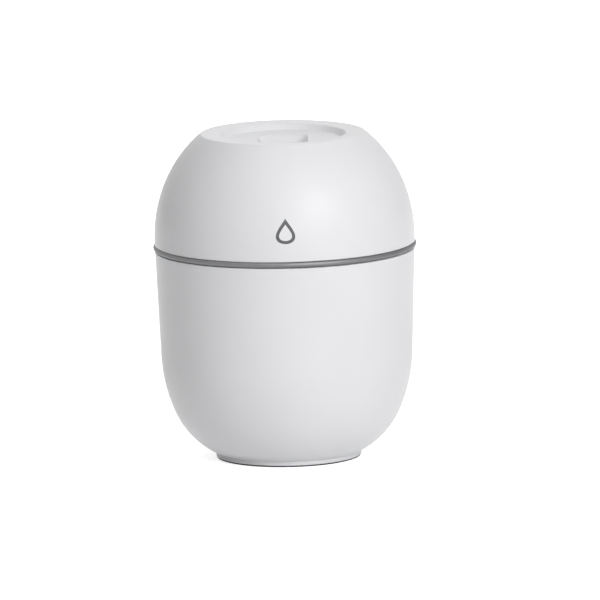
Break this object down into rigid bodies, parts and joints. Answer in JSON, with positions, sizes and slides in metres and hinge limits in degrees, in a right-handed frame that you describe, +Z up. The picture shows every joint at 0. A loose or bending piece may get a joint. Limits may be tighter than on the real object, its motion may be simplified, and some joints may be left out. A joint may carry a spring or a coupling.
{
  "type": "cool mist humidifier",
  "caption": "Egg-shaped cool mist humidifier: drafted water cup on a round foot, metal trim ring, domed lift-off cover with a dished top, mist well, press button and wick-fed atomizer.",
  "frame": {"origin": "middle of the foot on the standing surface", "axes": "+Z up along the axis of the cup and cover, front with the button towards -Y, USB socket towards +Y"},
  "size_m": [0.0788, 0.0788, 0.098],
  "materials": {
    "shell_white": "satin white ABS",
    "chassis_white": "fine matt moulded",
    "trim_metal": "satin silver bead",
    "foot_rubber": "matt grey rubber",
    "silicone": "translucent white silicone",
    "cotton": "soft white cotton",
    "piezo_ceramic": "fired, dull",
    "mesh_steel": "fine perforated sheet",
    "screw_steel": "zinc plated",
    "spring_steel": "drawn wire",
    "socket_steel": "nickel plated sheet",
    "board_green": "solder mask",
    "black_plastic": "moulded, dull",
    "switch_plastic": "moulded, dull",
    "header_plastic": "nylon, dull",
    "coil_ferrite": "ferrite, dull",
    "can_aluminium": "sleeved can",
    "led_plastic": "clear lens",
    "lead_red": "insulated lead",
    "lead_white": "insulated lead"
  },
  "bodies": {
    "cup": {"water_cup": "shell_white", "foot_pad": "foot_rubber"},
    "cover": {"dome_cover": "shell_white", "trim_ring": "trim_metal", "inner_chassis": "chassis_white", "collar_seal": "silicone", "chassis_screws": "screw_steel", "atomizer_gasket_upper": "silicone", "piezo_ring": "piezo_ceramic", "mesh_plate": "mesh_steel", "atomizer_gasket_lower": "silicone", "atomizer_clamp": "chassis_white", "clamp_screws": "screw_steel", "tact_switch": "black_plastic", "switch_board": "board_green", "switch_board_screws": "screw_steel", "main_board": "board_green", "main_board_screws": "screw_steel", "usb_shell": "socket_steel", "usb_tongue": "black_plastic", "controller_chip": "black_plastic", "drive_coil": "coil_ferrite", "filter_capacitor": "can_aluminium", "night_light_leds": "led_plastic", "lead_headers": "header_plastic", "atomizer_leads": "lead_red", "switch_leads": "lead_white"},
    "button": {"button_cap": "shell_white", "switch_plunger": "switch_plastic"},
    "holder": {"wick_holder": "chassis_white", "holder_cap": "chassis_white", "holder_seal": "silicone", "wick_spring": "spring_steel"},
    "wick": {"cotton_wick": "cotton"}
  },
  "joints": [
    {"name": "cover_lift", "type": "slide", "parent": "cup", "child": "cover", "axis": [0, 0, 1], "range_m": [0, 0.07]},
    {"name": "button_press", "type": "slide", "parent": "cover", "child": "button", "axis": [0, 0, -1], "range_m": [0, 0.0005], "stiffness_N_per_m": 2400, "springref_m": -0.0002},
    {"name": "holder_turn", "type": "hinge", "parent": "cover", "child": "holder", "pos_m": [0, 0, 0.059], "axis": [0, 0, 1], "range_deg": [0, 35]},
    {"name": "wick_press", "type": "slide", "parent": "holder", "child": "wick", "axis": [0, 0, -1], "range_m": [0, 0.003], "stiffness_N_per_m": 120, "springref_m": -0.004, "deforming": ["wick_spring"]}
  ]
}
